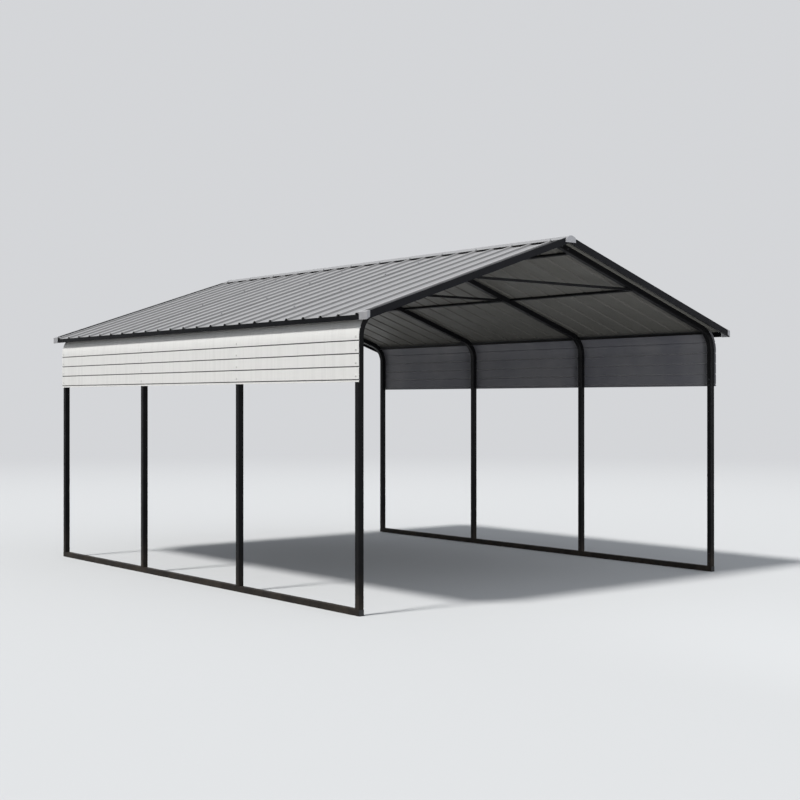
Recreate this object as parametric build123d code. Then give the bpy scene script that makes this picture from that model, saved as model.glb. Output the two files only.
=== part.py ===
from build123d import *
import math
import os

# Open steel carport: four bent-tube arches on two base rails, a ribbed sheet roof
# with an overhang all round, and a ribbed sheet panel along the top of each long side.
# Millimetres. X runs across the width, Y along the length with the front at -Y, Z up.
# The origin is on the ground, at the middle of the width and of the length.

# Arches
arch_count = 4
arch_spacing = 1524.0
post_centre_width = 3840.0
knee_height = 2060.0
roof_pitch = 18.6
bend_radius = 200.0

# Square tube of the arches and the base rails
tube_size = 45.0
tube_wall = 1.5
tube_corner_cut = 3.0

# Slip joints: a swaged end or a spigot inside the next tube
slip_clearance = 0.3
spigot_wall = 1.5
swage_length = 120.0
swage_shoulder = 3.0
splice_drop = 215.0
foot_spigot_length = 150.0
peak_splice_leg = 160.0

# Collar ties across the arches
tie_size = 20.0
tie_wall = 1.5
tie_drop = 316.0

# Purlins between the arches: two near the ridge, one down each slope, one in each eave bend
purlin_size = 20.0
purlin_wall = 1.5
ridge_purlin_reach = 220.0
purlin_past_tie = 100.0
eave_purlin_angle = 48.0
plate_thickness = 3.0
plate_length = 38.0

# Roof sheets
sheet_thickness = 1.0
sheets_per_slope = 4
rib_pitch = 212.0
rib_height = 14.0
rib_base_width = 38.0
rib_top_width = 16.0
ridge_gap = 12.0
gable_overhang = 158.0
eave_past_posts = 55.0
lap_lip_height = 4.0
rib_cap_gap = 2.0

# Ridge cap
ridge_wing = 120.0

# Eave trim and gable trims
eave_trim_drop = 33.0
eave_trim_flange = 28.0
trim_return = 12.0
gable_trim_drop = 34.0
gable_trim_flange = 46.0
gable_trim_foot = 14.0
trim_gap = 1.0
mitre_gap = 0.3

# Moulded caps at the eave corners and at the ridge ends
cap_wall = 2.0
cap_rounding = 4.0
corner_cap_length = 86.0
corner_cap_wrap = 28.0
corner_cap_slant = 18.0
ridge_end_width = 100.0
ridge_end_front = 14.0
ridge_end_depth = 24.0
ridge_end_height = 56.0
ridge_end_rounding = 26.0
cap_end_gap = 0.3

# Side panels
panel_drop = 310.0
panel_course = 90.0
panel_first_groove = 15.0
panel_groove_width = 12.0
panel_groove_floor = 5.0
panel_depth = 6.0
panel_seat_gap = 0.3
panel_straight_grooves = 4
panel_seam_angle = 17.0
panel_step_angle = 38.0
panel_lip_angle = 47.0
panel_past_posts = 12.0

# Values worked out from the sizes above
half_width = post_centre_width / 2
half_tube = tube_size / 2
pitch = math.radians(roof_pitch)
turn = 90.0 - roof_pitch
bend_tangent = bend_radius * math.tan(math.radians(turn) / 2)
bend_start = knee_height - bend_tangent
bend_centre_x = half_width - bend_radius
arch_outer_radius = bend_radius + half_tube
splice_height = bend_start - splice_drop
panel_bottom = bend_start - panel_drop
peak_height = knee_height + half_width * math.tan(pitch)
sheet_apex = peak_height + half_tube / math.cos(pitch)
under_apex = peak_height - half_tube / math.cos(pitch)
tie_height = peak_height - tie_drop
tie_reach = (under_apex - tie_height) / math.tan(pitch)
eave_reach = half_width + eave_past_posts
half_length = arch_spacing * (arch_count - 1) / 2
arch_places = [arch_spacing * i - half_length for i in range(arch_count)]
roof_half_length = half_length + gable_overhang
sheet_half_length = roof_half_length - sheet_thickness - trim_gap
spigot_size = tube_size - 2 * tube_wall - 2 * slip_clearance
ribbed_length = 2 * (roof_half_length - corner_cap_length - rib_cap_gap) - rib_base_width
rib_pitches = int(ribbed_length // rib_pitch)
first_rib = -rib_pitches * rib_pitch / 2
eave_run = eave_reach / math.cos(pitch)
ridge_cap_seat = rib_height + 2 * sheet_thickness
trim_face = eave_reach + trim_gap

along_y = Plane(origin=(0, 0, 0), x_dir=(1, 0, 0), z_dir=(0, -1, 0))
slope_plane = Plane(
    origin=(0, 0, sheet_apex),
    x_dir=(0, -1, 0),
    z_dir=(-math.cos(pitch), 0, -math.sin(pitch)),
)


def inset_cut(cut, depth):
    """Corner cut of the square that lies inside a cut square by a depth all round."""
    return cut - depth * (2 - math.sqrt(2))


def slope_point(run, lift):
    """Point of the left slope: run down it from the ridge, lift square to it."""
    x = -run * math.cos(pitch) - lift * math.sin(pitch)
    z = sheet_apex - run * math.sin(pitch) + lift * math.cos(pitch)
    return (x, z)


def slope_height(x, lift=0.0):
    """Height of the left slope's plane, lifted square to it, at a distance x from the middle."""
    return sheet_apex - abs(x) * math.tan(pitch) + lift / math.cos(pitch)


def bend_point(radius, angle):
    """Point of the left eave bend, its angle counted from level, outward."""
    a = math.radians(angle)
    return (-bend_centre_x - radius * math.cos(a), bend_start + radius * math.sin(a))


def folded(path, thickness, side=Side.LEFT):
    """Section of a folded sheet: a line or wire thickened to one side."""
    return make_face(offset(path, thickness, kind=Kind.INTERSECTION, side=side))


def run_along_y(section, y_low, y_high):
    """Section drawn in X and Z, run along Y between two places."""
    return Pos(0, y_high, 0) * extrude(along_y * section, y_high - y_low)


def cut_square(size, cut):
    """Square with its corners cut off, where there is a cut to make."""
    square = Rectangle(size, size)
    return chamfer(square.vertices(), cut) if cut > 0 else square


def tube_section(size, wall, corner_cut=0.0):
    """Square tube section with the same wall all round its cut corners."""
    return cut_square(size, corner_cut) - cut_square(size - 2 * wall, inset_cut(corner_cut, wall))


def round_outer_top(face, radius):
    """Round the upper corner on a face's left-hand side."""
    left = face.vertices().sort_by(Axis.X)[:2]
    return fillet(left.sort_by(Axis.Y)[-1], radius)


def mirrored(part):
    """The same piece on the right-hand side."""
    return mirror(part, about=Plane.YZ)


spigot_corner_cut = inset_cut(tube_corner_cut, tube_wall + slip_clearance)
nodes = {}


def add(name, *solids):
    """Keep a sub-part under its name, as one shape or several that don't touch."""
    nodes[name] = solids[0] if len(solids) == 1 else Compound(children=list(solids))


# Base rails: square tube on the ground under each row of posts, flush with the end posts.
def base_rail():
    ends = half_length + half_tube
    section = tube_section(tube_size, tube_wall, tube_corner_cut)
    return run_along_y(Pos(-half_width, half_tube) * section, -ends, ends)


left_rail = base_rail()
add("base_rail_left", left_rail)
add("base_rail_right", mirrored(left_rail))


# Foot spigots: short tubes welded on the base rails, which the posts slip over.
def foot_spigot(x, y):
    section = tube_section(spigot_size, spigot_wall, spigot_corner_cut)
    return Pos(x, y, tube_size) * extrude(section, foot_spigot_length)


add("foot_spigots", *[foot_spigot(x, y) for x in (-half_width, half_width) for y in arch_places])


# Posts: straight tubes from the base rail to the slip joint under the bend.
def post(y):
    section = tube_section(tube_size, tube_wall, tube_corner_cut)
    return Pos(-half_width, y, tube_size) * extrude(section, splice_height - tube_size)


# Bent rafters: a swaged lower end, the eave bend and the straight slope to the peak mitre.
def bent_rafter(y):
    past_peak = tube_size
    path = FilletPolyline(
        (-half_width, y, splice_height),
        (-half_width, y, knee_height),
        (past_peak, y, peak_height + past_peak * math.tan(pitch)),
        radius=bend_radius,
    )
    start = Plane(origin=(-half_width, y, splice_height), x_dir=(1, 0, 0), z_dir=(0, 0, 1))
    tube = sweep(start * tube_section(tube_size, tube_wall, tube_corner_cut), path=path)
    tube = split(tube, bisect_by=Plane.YZ, keep=Keep.BOTTOM)
    bore_cut = inset_cut(tube_corner_cut, tube_wall)
    step = tube_section(tube_size - 2 * tube_wall, slip_clearance + spigot_wall, bore_cut)
    shoulder = extrude(start * step, swage_shoulder)
    swage_section = tube_section(spigot_size, spigot_wall, spigot_corner_cut)
    swage = extrude(start.offset(swage_shoulder) * swage_section, -swage_length - swage_shoulder)
    return tube + shoulder + swage


for number, place in enumerate(arch_places, start=1):
    left_post = post(place)
    left_rafter = bent_rafter(place)
    add(f"post_left_{number}", left_post)
    add(f"post_right_{number}", mirrored(left_post))
    add(f"bent_rafter_left_{number}", left_rafter)
    add(f"bent_rafter_right_{number}", mirrored(left_rafter))


# Peak splices: a bent spigot inside both rafters of an arch.
def peak_splice(y):
    reach = peak_splice_leg * math.cos(pitch)
    drop = peak_splice_leg * math.sin(pitch)
    path = Polyline((-reach, y, peak_height - drop), (0, y, peak_height), (reach, y, peak_height - drop))
    start = Plane(
        origin=(-reach, y, peak_height - drop), x_dir=(0, 1, 0), z_dir=(math.cos(pitch), 0, math.sin(pitch))
    )
    section = tube_section(spigot_size, spigot_wall, spigot_corner_cut)
    return sweep(start * section, path=path, transition=Transition.RIGHT)


add("peak_splices", *[peak_splice(y) for y in arch_places])


# Collar ties: thin level tubes across each arch, their ends cut to the slope and
# closed with plates that lie on the undersides of the rafters.
def collar_tie(y):
    long_reach = tie_reach + tie_size
    bar = Pos(-long_reach, y, tie_height) * Rot(0, 90, 0) * extrude(tube_section(tie_size, tie_wall), 2 * long_reach)
    face = Plane(
        origin=(-tie_reach, y, tie_height),
        x_dir=(math.cos(pitch), 0, math.sin(pitch)),
        z_dir=(math.sin(pitch), 0, -math.cos(pitch)),
    )
    left_cut = face.offset(plate_thickness)
    bar = split(bar, bisect_by=left_cut, keep=Keep.TOP)
    right_cut = Plane(
        origin=(-left_cut.origin.X, y, left_cut.origin.Z),
        x_dir=(math.cos(pitch), 0, -math.sin(pitch)),
        z_dir=(-math.sin(pitch), 0, -math.cos(pitch)),
    )
    bar = split(bar, bisect_by=right_cut, keep=Keep.TOP)
    plate_run = tie_size / math.sin(pitch) + plate_length
    plate = extrude(face * Rectangle(plate_run, tie_size), plate_thickness)
    return bar + plate + mirrored(plate)


add("collar_ties", *[collar_tie(y) for y in arch_places])


# Purlins: short tubes between neighbouring arches, with an end plate against each arch.
def purlin_row(centre_x, centre_z, lean):
    a = math.radians(lean)
    spans = []
    for low, high in zip(arch_places[:-1], arch_places[1:]):
        start = Plane(
            origin=(centre_x, low + half_tube, centre_z), x_dir=(math.cos(a), 0, math.sin(a)), z_dir=(0, 1, 0)
        )
        length = high - low - tube_size
        bar = extrude(start * tube_section(purlin_size, purlin_wall), length)
        plate = start * Rectangle(plate_length, purlin_size)
        near = extrude(plate, plate_thickness)
        far = Pos(0, length - plate_thickness, 0) * near
        spans.append(bar + near + far)
    return spans


def slope_purlin_row(reach):
    """Purlins with their tops in the plane of the sheets' undersides, down to a reach from the middle."""
    x, z = slope_point(reach / math.cos(pitch), -purlin_size / 2)
    return purlin_row(x, z, roof_pitch)


left_ridge_purlins = slope_purlin_row(ridge_purlin_reach)
left_slope_purlins = slope_purlin_row(tie_reach + purlin_past_tie)
eave_x, eave_z = bend_point(bend_radius, eave_purlin_angle)
left_eave_purlins = purlin_row(eave_x, eave_z, 0.0)
add("ridge_purlins", *left_ridge_purlins, *[mirrored(p) for p in left_ridge_purlins])
add("slope_purlin_left", *left_slope_purlins)
add("slope_purlin_right", *[mirrored(p) for p in left_slope_purlins])
add("eave_purlin_left", *left_eave_purlins)
add("eave_purlin_right", *[mirrored(p) for p in left_eave_purlins])


# Roof sheets: each runs from ridge to eave, with trapezoid ribs down the slope.
# A sheet's low-Y rib lies over the high-Y rib of the sheet before it.
def rib_side(grow, height):
    """Half-width of a rib at a height, for its line moved outward by grow."""
    rise = rib_height
    run = (rib_base_width - rib_top_width) / 2
    slant = math.hypot(rise, run)
    return rib_base_width / 2 + (grow * slant - run * height) / rise


def rib_line(centre, grow, low_foot, high_foot):
    """Four points over a rib, from low Y to high Y, ending at the two foot heights."""
    top = rib_height + grow
    return [
        (centre - rib_side(grow, low_foot), low_foot),
        (centre - rib_side(grow, top), top),
        (centre + rib_side(grow, top), top),
        (centre + rib_side(grow, high_foot), high_foot),
    ]


def roof_sheet(first, last):
    line = []
    if first == 0:
        line.append((-sheet_half_length, 0.0))
        line += rib_line(first_rib, 0.0, 0.0, 0.0)
    else:
        line += rib_line(first_rib + first * rib_pitch, sheet_thickness, lap_lip_height, 0.0)
    for rib in range(first + 1, last + 1):
        line += rib_line(first_rib + rib * rib_pitch, 0.0, 0.0, 0.0)
    if last == rib_pitches:
        line.append((sheet_half_length, 0.0))
    path = Polyline(*[(-y, lift) for y, lift in line])
    section = folded(path, sheet_thickness, Side.RIGHT)
    return extrude(slope_plane.offset(ridge_gap) * section, eave_run - ridge_gap)


bounds = [round(k * rib_pitches / sheets_per_slope) for k in range(sheets_per_slope + 1)]
for number, (first, last) in enumerate(zip(bounds[:-1], bounds[1:]), start=1):
    left_sheet = roof_sheet(first, last)
    add(f"roof_sheet_left_{number}", left_sheet)
    add(f"roof_sheet_right_{number}", mirrored(left_sheet))


# Ridge cap: a folded strip that lies on the rib tops of both slopes.
def ridge_cap():
    wing_x, wing_z = slope_point(ridge_wing, ridge_cap_seat)
    crest = slope_height(0, ridge_cap_seat)
    path = Polyline((wing_x, wing_z), (0, crest), (-wing_x, wing_z))
    section = folded(path, sheet_thickness, Side.LEFT)
    return run_along_y(section, -roof_half_length, roof_half_length)


add("ridge_cap", ridge_cap())


# Eave trims: an angle under the sheets' lower edge, its face hanging outside their ends.
def eave_trim():
    top = slope_height(trim_face)
    bottom = slope_height(trim_face) - eave_trim_drop
    inner = trim_face - eave_trim_flange
    path = Polyline(
        (-inner, slope_height(inner)),
        (-trim_face, top),
        (-trim_face, bottom),
        (-trim_face + trim_return, bottom),
    )
    section = folded(path, sheet_thickness, Side.LEFT)
    ends = roof_half_length - corner_cap_length
    return run_along_y(section, -ends, ends)


left_eave_trim = eave_trim()
add("eave_trim_left", left_eave_trim)
add("eave_trim_right", mirrored(left_eave_trim))


# Gable trims: folded strips over the ends of the roof, cut plumb at the peak and at the eave.
# Each is as high as the lapped ribs, and its inner leg stands on the sheet with a narrow foot.
def gable_trim():
    face = roof_half_length - sheet_thickness
    leg = face - gable_trim_flange
    rise = rib_height + sheet_thickness
    path = Polyline(
        (face - trim_return, -gable_trim_drop),
        (face, -gable_trim_drop),
        (face, rise),
        (leg, rise),
        (leg, sheet_thickness),
        (leg - gable_trim_foot, sheet_thickness),
    )
    section = folded(path, sheet_thickness, Side.RIGHT)
    strip = extrude(slope_plane * section, eave_run + tube_size)
    strip += extrude(slope_plane * section, -tube_size)
    strip = split(strip, bisect_by=Plane.YZ.offset(-mitre_gap / 2), keep=Keep.BOTTOM)
    return split(strip, bisect_by=Plane.YZ.offset(-eave_reach), keep=Keep.TOP)


front_left_trim = gable_trim()
add("gable_trim_front_left", front_left_trim)
add("gable_trim_front_right", mirrored(front_left_trim))
add("gable_trim_rear_left", mirror(front_left_trim, about=Plane.XZ))
add("gable_trim_rear_right", mirror(mirrored(front_left_trim), about=Plane.XZ))


# Corner caps: moulded covers over the eave corners, open underneath and to the inside.
def corner_cap():
    outer_x = trim_face + sheet_thickness + cap_wall
    inner_x = outer_x - corner_cap_wrap
    low = slope_height(trim_face) - eave_trim_drop - sheet_thickness - cap_wall
    outer = make_face(Polyline(
        (-inner_x, slope_height(inner_x, ridge_cap_seat + cap_wall)),
        (-outer_x, slope_height(outer_x, ridge_cap_seat + cap_wall)),
        (-outer_x, low),
        (-inner_x, low + corner_cap_slant),
        close=True,
    ))
    outer = round_outer_top(outer, cap_rounding)
    room_x = outer_x - cap_wall
    past = inner_x - cap_wall
    room = make_face(Polyline(
        (-past, slope_height(past, ridge_cap_seat)),
        (-room_x, slope_height(room_x, ridge_cap_seat)),
        (-room_x, low - cap_wall),
        (-past, low - cap_wall),
        close=True,
    ))
    room = round_outer_top(room, cap_rounding - cap_wall)
    y_end = -roof_half_length + corner_cap_length - cap_end_gap
    shell = run_along_y(outer, -roof_half_length - cap_wall, y_end)
    return shell - run_along_y(room, -roof_half_length, y_end + cap_wall)


front_left_cap = corner_cap()
rear_left_cap = mirror(front_left_cap, about=Plane.XZ)
add("corner_caps", front_left_cap, rear_left_cap, mirrored(front_left_cap), mirrored(rear_left_cap))


# Ridge end caps: rounded moulded boxes in front of the peak, each with a tongue that lies
# on the end of the ridge cap. They are open underneath and at the back.
def ridge_end_outline(inset, past_low):
    """Outline of the box, drawn inside its outer one by an inset, down to past its lower edge."""
    half = ridge_end_width / 2 - inset
    lift = ridge_cap_seat + sheet_thickness + cap_wall - inset
    low = slope_height(0, ridge_cap_seat + sheet_thickness + cap_wall) - ridge_end_height - past_low
    side = slope_height(half, lift)
    outline = Polyline(
        (-half, low), (-half, side), (0, slope_height(0, lift)), (half, side), (half, low), close=True
    )
    face = make_face(outline)
    return fillet(face.vertices().sort_by(Axis.Y)[2:], ridge_end_rounding - inset)


def ridge_end_cap():
    y_front = -roof_half_length - ridge_end_front
    y_end = -roof_half_length + ridge_end_depth
    shell = run_along_y(ridge_end_outline(0, 0), y_front, y_end)
    box_room = run_along_y(ridge_end_outline(cap_wall, cap_wall), y_front + cap_wall, -roof_half_length)
    room_half = ridge_end_width / 2 + cap_wall
    seat = ridge_cap_seat + sheet_thickness
    low = slope_height(0, seat) - ridge_end_height - cap_wall
    seat_side = slope_height(room_half, seat)
    over_ridge = make_face(Polyline(
        (-room_half, low),
        (-room_half, seat_side),
        (0, slope_height(0, seat)),
        (room_half, seat_side),
        (room_half, low),
        close=True,
    ))
    return shell - box_room - run_along_y(over_ridge, -roof_half_length, y_end + cap_wall)


front_ridge_end = ridge_end_cap()
add("ridge_end_caps", front_ridge_end, mirror(front_ridge_end, about=Plane.XZ))


# Side panels: ribbed sheet on the outside of the posts, a little past the end posts, from above
# head height up round the eave bend, with pressed grooves between its courses and a flat lip.
def side_panel():
    post_face = -half_width - half_tube - panel_seat_gap
    seat_radius = arch_outer_radius + panel_seat_gap
    face = post_face - panel_depth
    half_groove = panel_groove_width / 2
    half_floor = panel_groove_floor / 2
    first = panel_bottom + panel_first_groove
    points = [(face, panel_bottom)]
    for course in range(panel_straight_grooves):
        z = first + course * panel_course
        points += [(face, z - half_groove), (post_face, z - half_floor)]
        points += [(post_face, z + half_floor), (face, z + half_groove)]
    points.append((face, bend_start))
    face_radius = seat_radius + panel_depth
    half_mouth = math.degrees(half_groove / face_radius)
    half_seat = math.degrees(half_floor / seat_radius)
    seam_low = panel_seam_angle - half_mouth
    seam_high = panel_seam_angle + half_mouth
    centre = (-bend_centre_x, bend_start)
    first_arc = CenterArc(centre, face_radius, 180.0 - seam_low, seam_low)
    groove = Polyline(
        bend_point(face_radius, seam_low),
        bend_point(seat_radius, panel_seam_angle - half_seat),
        bend_point(seat_radius, panel_seam_angle + half_seat),
        bend_point(face_radius, seam_high),
    )
    second_arc = CenterArc(centre, face_radius, 180.0 - panel_step_angle, panel_step_angle - seam_high)
    step_end = panel_step_angle + half_mouth
    step = Line(bend_point(face_radius, panel_step_angle), bend_point(seat_radius, step_end))
    lip = CenterArc(centre, seat_radius, 180.0 - panel_lip_angle, panel_lip_angle - step_end)
    path = Wire([*Polyline(*points).edges(), *first_arc.edges(), *groove.edges(), *second_arc.edges(),
                 *step.edges(), *lip.edges()])
    section = folded(path, sheet_thickness, Side.LEFT)
    ends = half_length + half_tube + panel_past_posts
    return run_along_y(section, -ends, ends)


left_panel = side_panel()
add("side_panel_left", left_panel)
add("side_panel_right", mirrored(left_panel))

os.makedirs("parts", exist_ok=True)
for name, shape in nodes.items():
    export_step(shape, f"parts/{name}.step")
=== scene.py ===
import math
import random

import bmesh
import bpy
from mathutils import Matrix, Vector
from mathutils.bvhtree import BVHTree


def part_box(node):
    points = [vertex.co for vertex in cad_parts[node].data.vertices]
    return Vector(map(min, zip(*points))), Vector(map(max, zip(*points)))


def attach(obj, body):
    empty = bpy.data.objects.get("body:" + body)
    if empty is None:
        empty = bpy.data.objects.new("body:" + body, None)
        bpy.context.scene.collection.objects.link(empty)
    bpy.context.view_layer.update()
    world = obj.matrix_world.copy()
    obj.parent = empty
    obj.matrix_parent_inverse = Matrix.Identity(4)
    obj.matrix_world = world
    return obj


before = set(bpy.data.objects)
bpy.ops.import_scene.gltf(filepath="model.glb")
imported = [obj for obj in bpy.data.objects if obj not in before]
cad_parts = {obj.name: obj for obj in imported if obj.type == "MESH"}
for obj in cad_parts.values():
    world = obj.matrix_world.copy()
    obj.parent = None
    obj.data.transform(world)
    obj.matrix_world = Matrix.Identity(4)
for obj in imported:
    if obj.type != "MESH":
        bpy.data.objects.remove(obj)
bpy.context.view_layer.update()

# Base rails: square steel tube laid on the ground along each side, with a satin black powder coat.
# The coat is baked on, so it has a fine peel. A thin film of dust lies on its lowest part and on ledges.
sides = {"left": -1, "right": 1}
frame_black = (0.0058, 0.0058, 0.0064, 1.0)
dust_brown = (0.11, 0.09, 0.07, 1.0)


def add_node(tree, kind, inputs=None, **settings):
    """A shader node: settings are its properties, inputs are plain values or sockets by name or number."""
    made = tree.nodes.new(kind)
    for key, value in settings.items():
        setattr(made, key, value)
    for key, value in (inputs or {}).items():
        if isinstance(value, bpy.types.NodeSocket):
            tree.links.new(value, made.inputs[key])
        else:
            made.inputs[key].default_value = value
    return made


def math_node(tree, operation, a, b=0.0, clamp=False):
    """One step of arithmetic on two values or sockets."""
    return add_node(tree, "ShaderNodeMath", {0: a, 1: b}, operation=operation, use_clamp=clamp).outputs[0]


def ramp_between(tree, value, low, high, out_low=0.0, out_high=1.0):
    """A value turned smoothly from one range to another."""
    ranges = {"Value": value, "From Min": low, "From Max": high, "To Min": out_low, "To Max": out_high}
    ramp = add_node(tree, "ShaderNodeMapRange", ranges, interpolation_type="SMOOTHSTEP")
    return ramp.outputs["Result"]


def split(tree, vector):
    """The X, Y and Z of a vector socket."""
    return add_node(tree, "ShaderNodeSeparateXYZ", {0: vector}).outputs


def new_group(name, inputs, outputs):
    """An empty shader node group: named inputs with their starting values, and named outputs."""
    tree = bpy.data.node_groups.new(name, "ShaderNodeTree")
    for label, start in inputs.items():
        socket = tree.interface.new_socket(name=label, in_out="INPUT", socket_type="NodeSocketFloat")
        socket.default_value = start
    for label in outputs:
        tree.interface.new_socket(name=label, in_out="OUTPUT", socket_type="NodeSocketFloat")
    return tree, add_node(tree, "NodeGroupInput").outputs, add_node(tree, "NodeGroupOutput").inputs


def make_coat_peel():
    """Fine peel and slow gloss change of a baked or rolled coat."""
    tree, given, out = new_group("coat_peel", {"Fineness": 400.0, "Patches": 6.0}, ("Height", "Gloss"))
    place = add_node(tree, "ShaderNodeTexCoord").outputs["Object"]
    fine = add_node(tree, "ShaderNodeTexNoise", {"Vector": place, "Scale": given["Fineness"],
                                                 "Detail": 2.0})
    slow = add_node(tree, "ShaderNodeTexNoise", {"Vector": place, "Scale": given["Patches"], "Detail": 4.0,
                                                 "Roughness": 0.6})
    tree.links.new(fine.outputs[0], out["Height"])
    tree.links.new(ramp_between(tree, slow.outputs[0], 0.3, 0.7), out["Gloss"])
    return tree


def make_settled_dust():
    """Patchy dust near the ground and on faces that look up."""
    tree, given, out = new_group("settled_dust", {"Reach": 0.3, "Ledge": 0.3}, ("Mask",))
    around = add_node(tree, "ShaderNodeNewGeometry").outputs
    cloud = add_node(tree, "ShaderNodeTexNoise", {"Vector": around["Position"], "Scale": 9.0, "Detail": 6.0,
                                                  "Roughness": 0.65}).outputs[0]
    patchy = ramp_between(tree, cloud, 0.35, 0.7, out_low=0.35)
    height = math_node(tree, "DIVIDE", split(tree, around["Position"])["Z"], given["Reach"])
    near_ground = ramp_between(tree, height, 0.0, 1.0, out_low=1.0, out_high=0.0)
    facing_up = ramp_between(tree, split(tree, around["Normal"])["Z"], 0.6, 1.0)
    on_ledge = math_node(tree, "MULTIPLY", facing_up, given["Ledge"])
    both = math_node(tree, "MAXIMUM", near_ground, on_ledge)
    tree.links.new(math_node(tree, "MULTIPLY", both, patchy, clamp=True), out["Mask"])
    return tree


coat_peel = make_coat_peel()
settled_dust = make_settled_dust()


def new_material(name):
    """An empty material, its node tree and its Principled shader."""
    material = bpy.data.materials.new(name)
    material.use_nodes = True
    return material, material.node_tree, material.node_tree.nodes["Principled BSDF"]


def use_group(tree, group, **values):
    """A node group placed in a material with its own values."""
    return add_node(tree, "ShaderNodeGroup", values, node_tree=group).outputs


def mix_colours(tree, share, first, second):
    """Two colours mixed by a mask."""
    return add_node(tree, "ShaderNodeMix", {0: share, 6: first, 7: second}, data_type="RGBA").outputs[2]


def tint(tree, tone, colour, mask, share):
    """A tone turned toward a colour by a share of a mask."""
    return mix_colours(tree, math_node(tree, "MULTIPLY", mask, share), tone, colour)


def shade(colour, share):
    """A colour made darker, or paler where share is above 1."""
    return tuple(share * part for part in colour[:3]) + (1.0,)


def paint(tree, shader, colour, roughness):
    """Feeds the shader its colour and its roughness."""
    tree.links.new(colour, shader.inputs["Base Color"])
    tree.links.new(roughness, shader.inputs["Roughness"])


def emboss(tree, shader, height, depth, strength):
    """Feeds a height into the shader's normal as a bump of a depth in metres."""
    bump = add_node(tree, "ShaderNodeBump", {"Height": height, "Distance": depth, "Strength": strength})
    tree.links.new(bump.outputs[0], shader.inputs["Normal"])


def make_black_coat(name, colour, dust_reach, ledge, shine):
    """Powder coat with dust up to dust_reach above the ground, and a share of it on ledges."""
    material, tree, shader = new_material(name)
    peel = use_group(tree, coat_peel, Fineness=450.0, Patches=7.0)
    dust = use_group(tree, settled_dust, Reach=dust_reach, Ledge=ledge)["Mask"]
    tone = mix_colours(tree, peel["Gloss"], colour, shade(colour, 0.72))
    clean_roughness = ramp_between(tree, peel["Gloss"], 0.0, 1.0, 0.36, 0.48)
    dust_roughness = math_node(tree, "MULTIPLY", dust, 0.3)
    roughness = math_node(tree, "ADD", clean_roughness, dust_roughness, clamp=True)
    paint(tree, shader, tint(tree, tone, dust_brown, dust, 0.34), roughness)
    shader.inputs["Specular IOR Level"].default_value = shine
    emboss(tree, shader, peel["Height"], 0.00025, 0.5)
    return material


frame_coat = make_black_coat("frame_coat", frame_black, dust_reach=0.35, ledge=0.25, shine=0.09)


def finish_nodes(names, material):
    """Gives CAD pieces their finish."""
    for name in names:
        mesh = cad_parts[name].data
        mesh.materials.clear()
        mesh.materials.append(material)


finish_nodes([f"base_rail_{side}" for side in sides], frame_coat)

# Rail end plugs: black moulded plugs pressed into the open ends of the base rails.
# Only their thin square heads with cut corners and bevelled rims show.
plug_black = (0.018, 0.018, 0.019, 1.0)
plug_half = 0.0212
plug_corner_share = 0.86
plug_steps = [(0.0, 0.0), (0.0, 0.0014), (0.0011, 0.0024), (0.0022, 0.0028), (0.0060, 0.0028),
              (0.0070, 0.0032)]


def make_plastic(name, colour, fineness, depth, roughness):
    """Moulded plastic with a fine etched skin and slow changes of gloss and tone."""
    material, tree, shader = new_material(name)
    peel = use_group(tree, coat_peel, Fineness=fineness, Patches=14.0)
    tone = mix_colours(tree, peel["Gloss"], colour, shade(colour, 0.86))
    paint(tree, shader, tone, ramp_between(tree, peel["Gloss"], 0.0, 1.0, roughness, roughness + 0.12))
    emboss(tree, shader, peel["Height"], depth, 0.6)
    return material


def add_piece(name, shape, materials):
    """Turns mesh code into a piece that rides on the root body."""
    bmesh.ops.recalc_face_normals(shape, faces=shape.faces[:])
    mesh = bpy.data.meshes.new(name)
    shape.to_mesh(mesh)
    shape.free()
    for material in materials:
        mesh.materials.append(material)
    piece = bpy.data.objects.new(name, mesh)
    bpy.context.scene.collection.objects.link(piece)
    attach(piece, "root")


def add_plug(shape, centre, outward):
    """Plug head in steps of (inset, height), from the rail's end to its slightly raised middle."""
    across = Vector((1, 0, 0))
    up = Vector((0, 0, 1))
    loops = []
    for inset, height in plug_steps:
        half = plug_half - inset
        corner = half * plug_corner_share
        outline = [(half, corner), (corner, half), (-corner, half), (-half, corner),
                   (-half, -corner), (-corner, -half), (corner, -half), (half, -corner)]
        loops.append([shape.verts.new(centre + across * a + up * b + outward * height) for a, b in outline])
    for lower, upper in zip(loops[:-1], loops[1:]):
        for i in range(len(lower)):
            shape.faces.new((lower[i - 1], lower[i], upper[i], upper[i - 1]))
    shape.faces.new(loops[-1])
    shape.faces.new(loops[0])


black_plastic = make_plastic("black_plastic", plug_black, fineness=900.0, depth=0.0002, roughness=0.5)

shape = bmesh.new()
for side in sides:
    low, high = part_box(f"base_rail_{side}")
    middle = (low + high) / 2
    add_plug(shape, Vector((middle.x, low.y, middle.z)), Vector((0, -1, 0)))
    add_plug(shape, Vector((middle.x, high.y, middle.z)), Vector((0, 1, 0)))
add_piece("rail_end_plugs", shape, [black_plastic])

# Foot spigots: short galvanised tubes welded on the rails, hidden inside the posts.
# The zinc has a crystal spangle.
zinc_grey = (0.55, 0.56, 0.57, 1.0)


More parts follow.
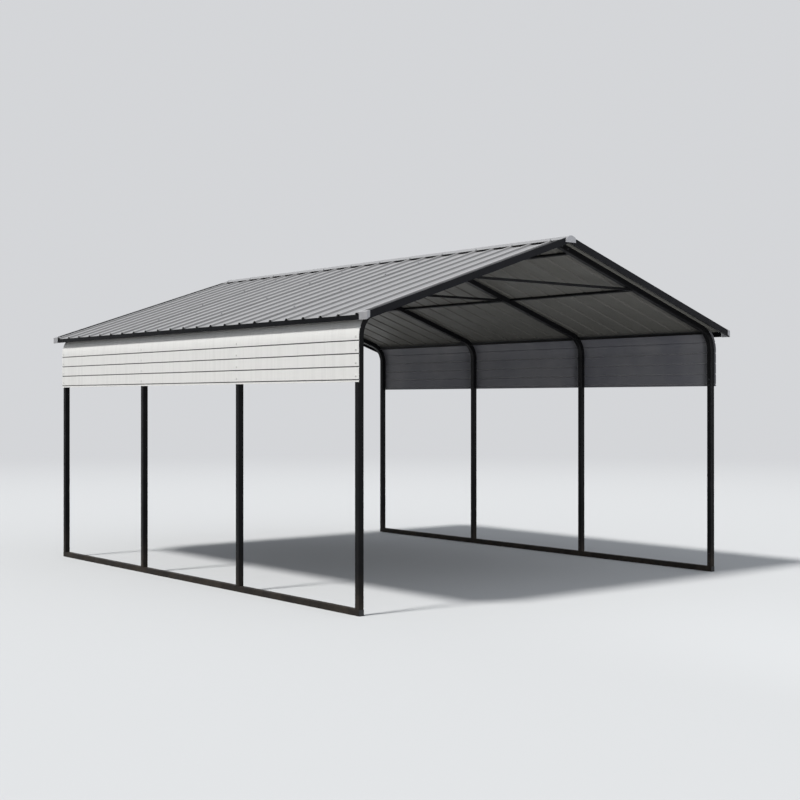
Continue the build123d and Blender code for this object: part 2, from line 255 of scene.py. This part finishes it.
def make_zinc(name, colour, roughness):
    """Bare zinc whose crystals differ in tone and gloss."""
    material, tree, shader = new_material(name)
    place = add_node(tree, "ShaderNodeTexCoord").outputs["Object"]
    cells = add_node(tree, "ShaderNodeTexVoronoi", {"Vector": place, "Scale": 140.0})
    crystal = split(tree, cells.outputs["Color"])["X"]
    tone = mix_colours(tree, crystal, colour, shade(colour, 0.78))
    paint(tree, shader, tone, ramp_between(tree, crystal, 0.0, 1.0, roughness, roughness + 0.15))
    shader.inputs["Metallic"].default_value = 1.0
    emboss(tree, shader, cells.outputs["Distance"], 0.0001, 0.3)
    return material


zinc_coat = make_zinc("zinc_coat", zinc_grey, roughness=0.34)
finish_nodes(["foot_spigots"], zinc_coat)

# Posts: straight tubes that slip over the foot spigots, each held by two hex-head self-drilling screws
# on its inner face. The screws are blackened to match the coat.
arch_places = (-2.286, -0.762, 0.762, 2.286)
post_centre = 1.92
inside_posts = post_centre - 0.3
foot_screw_heights = (0.085, 0.155)
screw_black = (0.035, 0.035, 0.037, 1.0)
rubbed_grey = (0.16, 0.16, 0.17, 1.0)
flange_corners = 18
hex_corners = 6
rubber_rings = [(0.0068, 0.0), (0.0071, 0.0005), (0.0068, 0.0012)]
flange_rings = [(0.0062, 0.0), (0.0062, 0.0006), (0.0050, 0.0013)]
head_rings = [(0.0045, 0.0009), (0.0046, 0.0042), (0.0039, 0.0049)]
twist = random.Random(11)
solids_met = {}


def make_blackened(name, colour, roughness):
    """Blackened steel that is rubbed a little bare in places."""
    material, tree, shader = new_material(name)
    place = add_node(tree, "ShaderNodeTexCoord").outputs["Object"]
    rub = add_node(tree, "ShaderNodeTexNoise", {"Vector": place, "Scale": 260.0, "Detail": 3.0}).outputs[0]
    tone = mix_colours(tree, ramp_between(tree, rub, 0.45, 0.75, out_high=0.35), colour, rubbed_grey)
    paint(tree, shader, tone, ramp_between(tree, rub, 0.2, 0.8, roughness, roughness + 0.2))
    shader.inputs["Metallic"].default_value = 0.7
    emboss(tree, shader, rub, 0.0001, 0.4)
    return material


def numbered(kind, on_sides=sides):
    """The names of the four like pieces of each side."""
    return [f"{kind}_{side}_{number}" for side in on_sides for number in (1, 2, 3, 4)]


def driven(names, start, toward):
    """Where a screw driven from start first meets these CAD pieces: the point and the outward normal."""
    key = tuple(names)
    if key not in solids_met:
        points = []
        faces = []
        for name in names:
            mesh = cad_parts[name].data
            first = len(points)
            points += [vertex.co.copy() for vertex in mesh.vertices]
            faces += [[first + index for index in face.vertices] for face in mesh.polygons]
        solids_met[key] = BVHTree.FromPolygons(points, faces)
    toward = Vector(toward).normalized()
    hit, normal = solids_met[key].ray_cast(Vector(start), toward)[:2]
    if normal.dot(toward) > 0:
        normal = -normal
    return hit, normal


def add_turned(shape, at, axis, rings, count, finish=0, turn=0.0):
    """Stacks rings of (radius, height) along axis from at, closed at both ends, with count corners each."""
    stand = axis.to_track_quat("Z", "Y").to_matrix()
    loops = []
    for radius, height in rings:
        loop = []
        for i in range(count):
            angle = turn + math.tau * i / count
            corner = Vector((radius * math.cos(angle), radius * math.sin(angle), height))
            loop.append(shape.verts.new(at + stand @ corner))
        loops.append(loop)
    for lower, upper in zip(loops[:-1], loops[1:]):
        for i in range(count):
            shape.faces.new((lower[i - 1], lower[i], upper[i], upper[i - 1])).material_index = finish
    shape.faces.new(loops[-1]).material_index = finish
    shape.faces.new(loops[0]).material_index = finish


def add_hex_screw(shape, at, axis, scale=1.0, on_rubber=False):
    """Hex head with a pressed flange. A rubber washer under it has the piece's second material."""
    lift = 0.0
    if on_rubber:
        add_turned(shape, at, axis, rubber_rings, flange_corners, finish=1)
        lift = rubber_rings[-1][1]
    flange = [(radius * scale, lift + height) for radius, height in flange_rings]
    add_turned(shape, at, axis, flange, flange_corners)
    head = [(radius * scale, lift + height) for radius, height in head_rings]
    add_turned(shape, at, axis, head, hex_corners, turn=twist.uniform(0, math.tau))


def add_post_screws(shape, heights):
    """Screws at these heights through the inner face of every post."""
    for side, sign in sides.items():
        for number, place in enumerate(arch_places, start=1):
            for height in heights:
                start = (sign * inside_posts, place, height)
                at, outward = driven([f"post_{side}_{number}"], start, (sign, 0, 0))
                add_hex_screw(shape, at, outward)


finish_nodes(numbered("post"), frame_coat)
blackened_steel = make_blackened("blackened_steel", screw_black, roughness=0.34)

shape = bmesh.new()
add_post_screws(shape, foot_screw_heights)
add_piece("post_foot_screws", shape, [blackened_steel])

# Bent rafters: the same tube bent at the eave and mitred at the peak. Its swaged end slips into the post
# and is held by two screws through the post's inner face.
post_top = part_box("post_left_1")[1].z
splice_screw_heights = (post_top - 0.035, post_top - 0.085)
finish_nodes(numbered("bent_rafter"), frame_coat)

shape = bmesh.new()
add_post_screws(shape, splice_screw_heights)
add_piece("splice_screws", shape, [blackened_steel])

# Peak splices: bent galvanised spigots inside the rafters. Two bolts a side go through rafter and spigot,
# with their heads to the front and their nuts to the back, all on washers.
roof_pitch = math.radians(18.6)
eave_height = 2.06
peak_height = eave_height + post_centre * math.tan(roof_pitch)
bolt_reaches = (0.055, 0.125)
beside_arch = 0.2
washer_height = 0.0014
washer_rings = [(0.0085, 0.0), (0.0085, washer_height)]
nut_rings = [(0.0062, washer_height), (0.0062, 0.0058), (0.0052, 0.0066)]
bolt_end_rings = [(0.0030, 0.0060), (0.0030, 0.0098), (0.0025, 0.0103)]
washer_corners = 20
bolt_end_corners = 12
bolt_head_scale = 1.15
finish_nodes(["peak_splices"], zinc_coat)


def add_bolt_head(shape, at, axis):
    """Washer and hex head."""
    add_turned(shape, at, axis, washer_rings, washer_corners)
    add_hex_screw(shape, at + axis * washer_height, axis, bolt_head_scale)


def add_nut(shape, at, axis):
    """Washer, hex nut and the bolt's end."""
    add_turned(shape, at, axis, washer_rings, washer_corners)
    add_turned(shape, at, axis, nut_rings, hex_corners, turn=twist.uniform(0, math.tau))
    add_turned(shape, at, axis, bolt_end_rings, bolt_end_corners)


shape = bmesh.new()
for number, place in enumerate(arch_places, start=1):
    for side, sign in sides.items():
        for reach in bolt_reaches:
            x = sign * reach * math.cos(roof_pitch)
            z = peak_height - reach * math.sin(roof_pitch)
            rafter = [f"bent_rafter_{side}_{number}"]
            add_bolt_head(shape, *driven(rafter, (x, place - beside_arch, z), (0, 1, 0)))
            add_nut(shape, *driven(rafter, (x, place + beside_arch, z), (0, -1, 0)))
add_piece("peak_bolts", shape, [blackened_steel])

# Collar ties: thin level tubes across the arches, welded to end plates that are screwed up into
# the undersides of the rafters.
tie_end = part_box("collar_ties")[1].x
plate_middle = tie_end - 0.0485
plate_ear = 0.0412
below_rafter = 0.2
tie_screw_scale = 0.85
finish_nodes(["collar_ties"], frame_coat)


def out_of_roof(sign):
    """The direction square to a slope and out of the roof."""
    return Vector((sign * math.sin(roof_pitch), 0, math.cos(roof_pitch)))


def on_slope(sign, x, y):
    """The point on the rafters' middle line at x from the roof's middle and at y along it."""
    return Vector((sign * x, y, peak_height - x * math.tan(roof_pitch)))


shape = bmesh.new()
for place in arch_places:
    for sign in sides.values():
        square = out_of_roof(sign)
        down_slope = Vector((sign * math.cos(roof_pitch), 0, -math.sin(roof_pitch)))
        for along in (-plate_ear, plate_ear):
            start = on_slope(sign, plate_middle, place) + down_slope * along - square * below_rafter
            at, outward = driven(["collar_ties"], start, square)
            add_hex_screw(shape, at, outward, tie_screw_scale)
add_piece("tie_screws", shape, [blackened_steel])

# Purlins: short tubes between the arches, welded to end plates. Two small button screws hold each plate
# to the side of the arch.
purlin_rows = ("ridge_purlins", "slope_purlin_left", "slope_purlin_right", "eave_purlin_left",
               "eave_purlin_right")
purlin_half = 0.010
plate_half = 0.019
ear_offset = 0.0145
button_rings = [(0.0029, 0.0), (0.0029, 0.0006), (0.0024, 0.0014), (0.0014, 0.0019)]
button_corners = 14
finish_nodes(purlin_rows, frame_coat)


def purlin_places():
    """Each row's node, its side's sign, the centre of its section and its lean."""
    ridge_low, ridge_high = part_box("ridge_purlins")
    ridge_x = ridge_high.x - (plate_half * math.cos(roof_pitch) + purlin_half * math.sin(roof_pitch))
    for side, sign in sides.items():
        yield "ridge_purlins", sign, (sign * ridge_x, (ridge_low.z + ridge_high.z) / 2), roof_pitch
        for row, lean in (("slope_purlin", roof_pitch), ("eave_purlin", 0.0)):
            low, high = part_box(f"{row}_{side}")
            yield f"{row}_{side}", sign, ((low.x + high.x) / 2, (low.z + high.z) / 2), lean


shape = bmesh.new()
for name, sign, (x, z), lean in purlin_places():
    along = Vector((math.cos(lean), 0, -sign * math.sin(lean)))
    for near, far in zip(arch_places[:-1], arch_places[1:]):
        for toward in (-1, 1):
            for ear in (-ear_offset, ear_offset):
                start = Vector((x, (near + far) / 2, z)) + along * ear
                at, outward = driven([name], start, (0, toward, 0))
                add_turned(shape, at, outward, button_rings, button_corners)
add_piece("purlin_screws", shape, [blackened_steel])

# Roof sheets: rolled steel sheet with trapezoid ribs, coil-coated mid grey on top and darker beneath.
# Beneath, a grey backing coat is made darker than such a coat as painted shade. The rib tops carry a
# painted highlight, and painted shade lies beside the rib feet on top and in the hollows under the ribs.
# Each is screwed through its pans into the purlins and arches, and through its laps. The screws have
# rubber washers.
# Of these tones, the dark one for the rib feet is painted shade, and the backing coat is darker than such a
# coat, carrying painted shade beneath.
sheet_tones = {"top": (0.30, 0.302, 0.312, 1.0), "streak": (0.35, 0.35, 0.352, 1.0),
               "foot_shade": (0.12, 0.118, 0.118, 1.0), "backer_with_shade": (0.145, 0.141, 0.127, 1.0)}
screw_grey = (0.235, 0.237, 0.25, 1.0)
rubber_grey = (0.13, 0.13, 0.135, 1.0)
sheet_shine = 0.25
rib_pitch = 0.212
rib_count = 23
first_rib = -11 * rib_pitch
crest_edge = (0.0075, 0.0095)
hollow_edge = (0.0175, 0.0200)
foot_start = (0.0085, 0.0105)
foot_end = (0.019, 0.032)
pan_offset = 0.034
pan_screw_lines = (0.22, 0.965, 1.855, 1.955)
arch_screw_lines = (0.46, 1.40)
lap_ribs = (6, 11, 16)
lap_screw_lines = (0.35, 0.7, 1.15, 1.6)
above_roof = 0.4


def make_rain_streaks():
    """Faint streaks that run down a slope or a wall, and slow blotches across it."""
    tree, given, out = new_group("rain_streaks", {"Fineness": 30.0}, ("Mask", "Blotch"))
    place = add_node(tree, "ShaderNodeTexCoord").outputs["Object"]
    parts = split(tree, place)
    across = math_node(tree, "MULTIPLY", parts["Y"], given["Fineness"])
    stretched = add_node(tree, "ShaderNodeCombineXYZ", {0: parts["X"], 1: across, 2: parts["Z"]}).outputs[0]
    streak = add_node(tree, "ShaderNodeTexNoise", {"Vector": stretched, "Scale": 1.3, "Detail": 5.0,
                                                   "Roughness": 0.6}).outputs[0]
    blotch = add_node(tree, "ShaderNodeTexNoise", {"Vector": place, "Scale": 2.2, "Detail": 5.0,
                                                   "Roughness": 0.55}).outputs[0]
    tree.links.new(ramp_between(tree, streak, 0.4, 0.75), out["Mask"])
    tree.links.new(ramp_between(tree, blotch, 0.3, 0.7), out["Blotch"])
    return tree


def make_rib_marks():
    """Masks of the ribs' tops, of their feet and of the hollows under them, repeated along the roof: where
    the roof coat paints its highlight and its shade.
    """
    tree, given, out = new_group("rib_marks", {"Pitch": 0.2}, ("CrestHighlight", "Foot", "HollowShade"))
    along = split(tree, add_node(tree, "ShaderNodeTexCoord").outputs["Object"])["Y"]
    off_rib = math_node(tree, "PINGPONG", along, math_node(tree, "MULTIPLY", given["Pitch"], 0.5))
    tree.links.new(ramp_between(tree, off_rib, *crest_edge, 1.0, 0.0), out["CrestHighlight"])
    tree.links.new(ramp_between(tree, off_rib, *hollow_edge, 1.0, 0.0), out["HollowShade"])
    beside = ramp_between(tree, off_rib, *foot_start)
    fading = ramp_between(tree, off_rib, *foot_end, 1.0, 0.0)
    tree.links.new(math_node(tree, "MULTIPLY", beside, fading), out["Foot"])
    return tree


rain_streaks = make_rain_streaks()
rib_marks = make_rib_marks()


def emboss_sheet(tree, shader, peel):
    """The slow waves of rolled sheet, with the fine peel of its coat on them."""
    fine = math_node(tree, "MULTIPLY", peel["Height"], 0.06)
    emboss(tree, shader, math_node(tree, "ADD", fine, peel["Gloss"]), 0.0012, 0.35)


def make_roof_coat(name, top, streak, foot_shade, backer_with_shade, ribbed):
    """Coil coat, weathered on top, with a painted highlight on the rib tops and painted shade beside the
    rib feet. Beneath, a backing coat darkened as painted shade, with slow blotches and painted shade in the
    rib hollows. The ribs' marks are full where ribbed is 1.
    """
    material, tree, shader = new_material(name)
    peel = use_group(tree, coat_peel, Fineness=700.0, Patches=3.0)
    rain = use_group(tree, rain_streaks, Fineness=34.0)
    ribs = use_group(tree, rib_marks, Pitch=rib_pitch)
    weather = math_node(tree, "MULTIPLY", rain["Mask"], 0.45)
    top_tone = mix_colours(tree, weather, top, streak)
    top_tone = tint(tree, top_tone, shade(top, 0.93), rain["Blotch"], 0.5)
    # Painted highlight: the rib tops are made paler than the washed streaks.
    top_tone = tint(tree, top_tone, shade(streak, 1.35), ribs["CrestHighlight"], 0.8 * ribbed)
    # Painted shade: the pan beside each rib's foot is darkened.
    top_tone = tint(tree, top_tone, foot_shade, ribs["Foot"], 0.6 * ribbed)
    # Beneath: a grey backing coat, darker than such a coat, which carries painted shade; slow blotches vary
    # its tone.
    under_tone = mix_colours(tree, rain["Blotch"], backer_with_shade, shade(backer_with_shade, 0.9))
    # Painted shade: the hollows under the ribs are darkened beneath the sheet.
    under_tone = tint(tree, under_tone, shade(backer_with_shade, 0.55), ribs["HollowShade"], 0.6 * ribbed)
    facing = add_node(tree, "ShaderNodeNewGeometry").outputs["True Normal"]
    on_top = ramp_between(tree, split(tree, facing)["Z"], -0.02, 0.02)
    clean_roughness = ramp_between(tree, peel["Gloss"], 0.0, 1.0, 0.46, 0.56)
    weathering = math_node(tree, "MULTIPLY", weather, 0.2)
    roughness = math_node(tree, "ADD", clean_roughness, weathering, clamp=True)
    paint(tree, shader, mix_colours(tree, on_top, under_tone, top_tone), roughness)
    shader.inputs["Specular IOR Level"].default_value = sheet_shine
    emboss_sheet(tree, shader, peel)
    return material


roof_coat = make_roof_coat("roof_coat", ribbed=1.0, **sheet_tones)
finish_nodes(numbered("roof_sheet"), roof_coat)
washer_rubber = make_plastic("washer_rubber", rubber_grey, fineness=1200.0, depth=0.0001, roughness=0.7)
screw_coat = make_plastic("screw_coat", screw_grey, fineness=900.0, depth=0.0001, roughness=0.4)


def add_roof_screw(shape, names, sign, x, y):
    """A screw on its rubber, driven square into the slope from above."""
    square = out_of_roof(sign)
    at, outward = driven(names, on_slope(sign, x, y) + square * above_roof, -square)
    add_hex_screw(shape, at, outward, on_rubber=True)


for side, sign in sides.items():
    sheets = numbered("roof_sheet", [side])
    shape = bmesh.new()
    for rib in range(rib_count):
        for x in pan_screw_lines:
            add_roof_screw(shape, sheets, sign, x, first_rib + rib * rib_pitch + pan_offset)
    for place in arch_places:
        for x in arch_screw_lines:
            add_roof_screw(shape, sheets, sign, x, place)
    for rib in lap_ribs:
        for x in lap_screw_lines:
            add_roof_screw(shape, sheets, sign, x, first_rib + rib * rib_pitch)
    add_piece(f"roof_screws_{side}", shape, [screw_coat, washer_rubber])

# Rib closures: strips of grey closed-cell foam, cut to the profile of the ribs. Each is pressed between
# the curled top of a side panel and the roof sheets, and keeps light and rain out.
foam_grey = (0.10, 0.098, 0.09, 1.0)
bend_middle_x = 1.72
bend_middle_z = 1.9163
lip_radius = 0.2291
half_tube = 0.0225
closure_inner = 1.8765
closure_outer = 1.8950
closure_slack = 0.0003
closure_end = 2.3100
closed_ribs = range(-10, 11)
rib_hollow = [(-0.0180, 0.0), (-0.0072, 0.0128), (0.0072, 0.0128), (0.0180, 0.0)]
closure_foam = make_plastic("closure_foam", foam_grey, fineness=500.0, depth=0.0006, roughness=0.8)


def closure_places():
    """Places along the strip, with how far its top rises there into the ribs."""
    yield -closure_end, 0.0
    for rib in closed_ribs:
        for offset, rise in rib_hollow:
            yield rib * rib_pitch + offset, rise
    yield closure_end, 0.0


def lip_height(x):
    """The top of the panel's lip, which is rolled round the arch's bend."""
    return bend_middle_z + math.sqrt(lip_radius**2 - (x - bend_middle_x) ** 2)


def sheet_height(x):
    """The underside of the sheets, between their ribs."""
    return peak_height - x * math.tan(roof_pitch) + half_tube / math.cos(roof_pitch)


def closure_ring(shape, sign, y, rise):
    """One cross-section of the strip: two corners on the panel's lip and two under the sheet."""
    lift = rise - closure_slack
    outline = ((closure_inner, lip_height(closure_inner)), (closure_outer, lip_height(closure_outer)),
               (closure_outer, sheet_height(closure_outer) + lift),
               (closure_inner, sheet_height(closure_inner) + lift))
    return [shape.verts.new((sign * x, y, z)) for x, z in outline]


for side, sign in sides.items():
    shape = bmesh.new()
    rings = [closure_ring(shape, sign, y, rise) for y, rise in closure_places()]
    for near, far in zip(rings[:-1], rings[1:]):
        for i in range(len(near)):
            shape.faces.new((near[i - 1], near[i], far[i], far[i - 1]))
    shape.faces.new(rings[0])
    shape.faces.new(rings[-1])
    add_piece(f"rib_closure_{side}", shape, [closure_foam])

# Ridge cap: a folded strip of the same coated sheet that lies on the rib tops of both slopes,
# screwed to every second rib.
cap_screw_line = 0.088
ridge_coat = make_roof_coat("ridge_coat", ribbed=0.0, **sheet_tones)
finish_nodes(["ridge_cap"], ridge_coat)

shape = bmesh.new()
for sign in sides.values():
    for rib in range(0, rib_count, 2):
        add_roof_screw(shape, ["ridge_cap"], sign, cap_screw_line, first_rib + rib * rib_pitch)
add_piece("ridge_cap_screws", shape, [screw_coat, washer_rubber])

# Eave trims: black folded steel angles under the lower edge of the sheets, along both sides.
# Their coat is darker and less shiny than the frame's. It is a darker copy of the gable trims' coat, though
# both trims are the same steel: painted shade that offsets the key light on them.
eave_black_painted_shade = (0.0045, 0.0048, 0.0060, 1.0)
eave_trim_painted_shade_coat = make_black_coat("eave_trim_painted_shade_coat", eave_black_painted_shade, dust_reach=0.1, ledge=0.05, shine=0.06)
finish_nodes([f"eave_trim_{side}" for side in sides], eave_trim_painted_shade_coat)

# Gable trims: black folded steel strips over the front and rear ends of the roof.
# Each stands on the sheet with a narrow foot and is riveted along it.
# Their coat is a paler, shinier copy of the eave trims' coat, though both trims are the same steel: the
# paler black is painted light.
gable_black_painted_light = (0.0078, 0.0080, 0.0100, 1.0)
gable_trim_painted_light_coat = make_black_coat("gable_trim_painted_light_coat", gable_black_painted_light, dust_reach=0.1, ledge=0.1, shine=0.11)
finish_nodes([f"gable_trim_{end}_{side}" for end in ("front", "rear") for side in sides], gable_trim_painted_light_coat)
rivet_line = 2.3895
first_rivet = 0.12
rivet_step = 0.29
rivet_count = 7
rivet_rings = [(0.0042, 0.0), (0.0041, 0.0006), (0.0032, 0.0014), (0.0016, 0.0018)]
rivet_corners = 14

shape = bmesh.new()
for side, sign in sides.items():
    square = out_of_roof(sign)
    for end, y in (("front", -rivet_line), ("rear", rivet_line)):
        for step in range(rivet_count):
            start = on_slope(sign, first_rivet + step * rivet_step, y) + square * above_roof
            at, outward = driven([f"gable_trim_{end}_{side}"], start, -square)
            add_turned(shape, at, outward, rivet_rings, rivet_corners)
add_piece("gable_trim_rivets", shape, [gable_trim_painted_light_coat])

# Corner caps and ridge end caps: grey moulded plastic covers over the ends of the trims
# and of the ridge cap.
cap_grey = (0.345, 0.345, 0.358, 1.0)
grey_plastic = make_plastic("grey_plastic", cap_grey, fineness=800.0, depth=0.0003, roughness=0.5)
finish_nodes(["corner_caps", "ridge_end_caps"], grey_plastic)

# Side panels: off-white coil-coated sheet with pressed grooves, screwed to the posts through its flats.
# The grooves are painted dark, partly as dirt and partly as painted shade. The inside has a grey backing
# coat, darker than such a coat, which carries painted shade.
panel_white = (0.785, 0.78, 0.76, 1.0)
# Dark paint for the grooves: partly dirt, partly painted shade.
groove_dirt_and_shade = (0.10, 0.097, 0.093, 1.0)
rain_film = (0.30, 0.29, 0.28, 1.0)
# Backing coat made darker than such a coat, carrying painted shade.
panel_backer_with_shade = (0.128, 0.129, 0.145, 1.0)
screw_white = (0.70, 0.695, 0.675, 1.0)
pale_grey = (0.62, 0.615, 0.60, 1.0)
groove_edge = (1.9432, 1.9488)
bend_start = (1.905, 1.915)
flat_heights = (1.650, 1.740, 1.830, 1.920)
outside_panels = 2.4
panel_screw_scale = 0.9


def make_panel_coat(name, face, dirt_and_shade, film, backer_with_shade):
    """Coil coat with dirt and painted shade in its grooves outside, and a backing coat inside that is
    darkened as painted shade and varied by slow blotches.
    """
    material, tree, shader = new_material(name)
    peel = use_group(tree, coat_peel, Fineness=700.0, Patches=2.5)
    rain = use_group(tree, rain_streaks, Fineness=26.0)
    around = add_node(tree, "ShaderNodeNewGeometry").outputs
    spot = split(tree, around["Position"])
    facing = split(tree, around["True Normal"])
    sideways = math_node(tree, "MULTIPLY", math_node(tree, "SIGN", spot["X"]), facing["X"])
    is_outside = ramp_between(tree, math_node(tree, "ADD", sideways, facing["Z"]), -0.05, 0.05)
    sunk = ramp_between(tree, math_node(tree, "ABSOLUTE", spot["X"]), *groove_edge, 1.0, 0.0)
    straight = ramp_between(tree, spot["Z"], *bend_start, 1.0, 0.0)
    groove = math_node(tree, "MULTIPLY", sunk, straight)
    # The grooves are darkened: partly dirt, partly painted shade.
    outer_tone = tint(tree, tint(tree, face, film, rain["Mask"], 0.12), dirt_and_shade, groove, 0.92)
    # Inside: a grey backing coat, darker than such a coat, which carries painted shade.
    inner_tone = tint(tree, backer_with_shade, film, rain["Blotch"], 0.25)
    roughness = ramp_between(tree, peel["Gloss"], 0.0, 1.0, 0.42, 0.54)
    paint(tree, shader, mix_colours(tree, is_outside, inner_tone, outer_tone), roughness)
    shader.inputs["Specular IOR Level"].default_value = sheet_shine
    emboss_sheet(tree, shader, peel)
    return material


panel_coat = make_panel_coat("panel_coat", panel_white, groove_dirt_and_shade, rain_film, panel_backer_with_shade)
finish_nodes([f"side_panel_{side}" for side in sides], panel_coat)
white_screw_coat = make_plastic("white_screw_coat", screw_white, fineness=900.0, depth=0.0001,
                                roughness=0.4)
pale_rubber = make_plastic("pale_rubber", pale_grey, fineness=1200.0, depth=0.0001, roughness=0.6)

shape = bmesh.new()
for side, sign in sides.items():
    for place in arch_places:
        for height in flat_heights:
            start = (sign * outside_panels, place, height)
            at, outward = driven([f"side_panel_{side}"], start, (-sign, 0, 0))
            add_hex_screw(shape, at, outward, panel_screw_scale, on_rubber=True)
add_piece("panel_screws", shape, [white_screw_coat, pale_rubber])

# Floor: a plain pale studio floor that fades into the backdrop far out. It throws back less light than
# the camera sees on it, and doesn't hide the object from below.
backdrop_grey = (0.66, 0.67, 0.69, 1.0)
floor_lit = (0.26, 0.26, 0.26, 1.0)
floor_seen = (0.60, 0.61, 0.62, 1.0)
floor_reach = 60.0
floor_corners = 96
fade_range = (7.0, 26.0)


def make_floor_paint():
    """Matt floor that turns into the backdrop's own light with distance, and is clear from below."""
    material, tree, shader = new_material("floor_paint")
    where = add_node(tree, "ShaderNodeNewGeometry").outputs
    rays = add_node(tree, "ShaderNodeLightPath").outputs
    shown = math_node(tree, "MAXIMUM", rays["Is Camera Ray"], rays["Is Glossy Ray"])
    tree.links.new(mix_colours(tree, shown, floor_lit, floor_seen), shader.inputs["Base Color"])
    shader.inputs["Roughness"].default_value = 0.8
    shader.inputs["Specular IOR Level"].default_value = 0.1
    length = add_node(tree, "ShaderNodeVectorMath", {0: where["Position"]}, operation="LENGTH")
    distant = ramp_between(tree, length.outputs["Value"], *fade_range)
    fade = math_node(tree, "MULTIPLY", distant, rays["Is Camera Ray"])
    glow = add_node(tree, "ShaderNodeEmission", {"Color": backdrop_grey, "Strength": 1.0}).outputs[0]
    above = add_node(tree, "ShaderNodeMixShader", {0: fade, 1: shader.outputs[0], 2: glow}).outputs[0]
    below = math_node(tree, "MULTIPLY", where["Backfacing"], rays["Is Camera Ray"])
    clear = add_node(tree, "ShaderNodeBsdfTransparent").outputs[0]
    whole = add_node(tree, "ShaderNodeMixShader", {0: below, 1: above, 2: clear}).outputs[0]
    tree.links.new(whole, tree.nodes["Material Output"].inputs["Surface"])
    return material


shape = bmesh.new()
bmesh.ops.create_circle(shape, cap_ends=True, segments=floor_corners, radius=floor_reach)
floor_mesh = bpy.data.meshes.new("studio_floor")
shape.to_mesh(floor_mesh)
shape.free()
floor_mesh.materials.append(make_floor_paint())
floor = bpy.data.objects.new("studio_floor", floor_mesh)
bpy.context.scene.collection.objects.link(floor)

# Studio light: one broad soft lamp high on the left, a pale surround that is brighter in front, and
# a weak round softbox low in front that reaches in under the roof.
rear_grey = (0.19, 0.20, 0.215, 1.0)
front_grey = (0.60, 0.63, 0.67, 1.0)
key_from = Vector((-0.62, 0.02, 1.0))
softbox_place = Vector((-1.5, -7.5, 0.85))
softbox_aim = Vector((0.8, -1.5, 2.4))

world = bpy.data.worlds.new("studio")
bpy.context.scene.world = world
world.use_nodes = True
tree = world.node_tree
surround = tree.nodes["Background"]
rays = add_node(tree, "ShaderNodeLightPath").outputs
shown = math_node(tree, "MAXIMUM", rays["Is Camera Ray"], rays["Is Glossy Ray"])
shown = math_node(tree, "MAXIMUM", shown, rays["Is Transmission Ray"])
toward = split(tree, add_node(tree, "ShaderNodeTexCoord").outputs["Generated"])
frontward = ramp_between(tree, math_node(tree, "MULTIPLY", toward["Y"], -1.0), -0.9, 0.9)
soft = mix_colours(tree, frontward, rear_grey, front_grey)
tree.links.new(mix_colours(tree, shown, soft, backdrop_grey), surround.inputs["Color"])
surround.inputs["Strength"].default_value = 1.0


def hang_lamp(lamp, place, backward):
    """Places a lamp so that its back points in a direction."""
    hung = bpy.data.objects.new(lamp.name, lamp)
    hung.location = place
    hung.rotation_mode = "QUATERNION"
    hung.rotation_quaternion = backward.to_track_quat("Z", "Y")
    bpy.context.scene.collection.objects.link(hung)


key_lamp = bpy.data.lights.new("key_lamp", "SUN")
key_lamp.energy = 3.3
key_lamp.angle = math.radians(9)
key_lamp.color = (1.0, 0.985, 0.96)
hang_lamp(key_lamp, (0, 0, 0), key_from)

fill_lamp = bpy.data.lights.new("fill_lamp", "AREA")
fill_lamp.shape = "DISK"
fill_lamp.size = 1.6
fill_lamp.energy = 30.0
fill_lamp.spread = math.radians(70)
fill_lamp.color = (0.95, 0.97, 1.0)
hang_lamp(fill_lamp, softbox_place, softbox_place - softbox_aim)

# Camera: at standing height off the front left corner and level, as the photograph was taken.
# Its place, turn and lens were fitted to the posts, rails and panels there.
camera_data = bpy.data.cameras.new("view")
camera_data.sensor_width = 36.0
camera_data.lens = 60.44
camera_data.clip_end = 200.0
camera = bpy.data.objects.new("view", camera_data)
camera.location = (-7.538, -9.614, 1.472)
camera.rotation_euler = (math.radians(90.07), 0.0, math.radians(-39.21))
bpy.context.scene.collection.objects.link(camera)
bpy.context.scene.camera = camera
bpy.context.scene.view_settings.view_transform = "Standard"
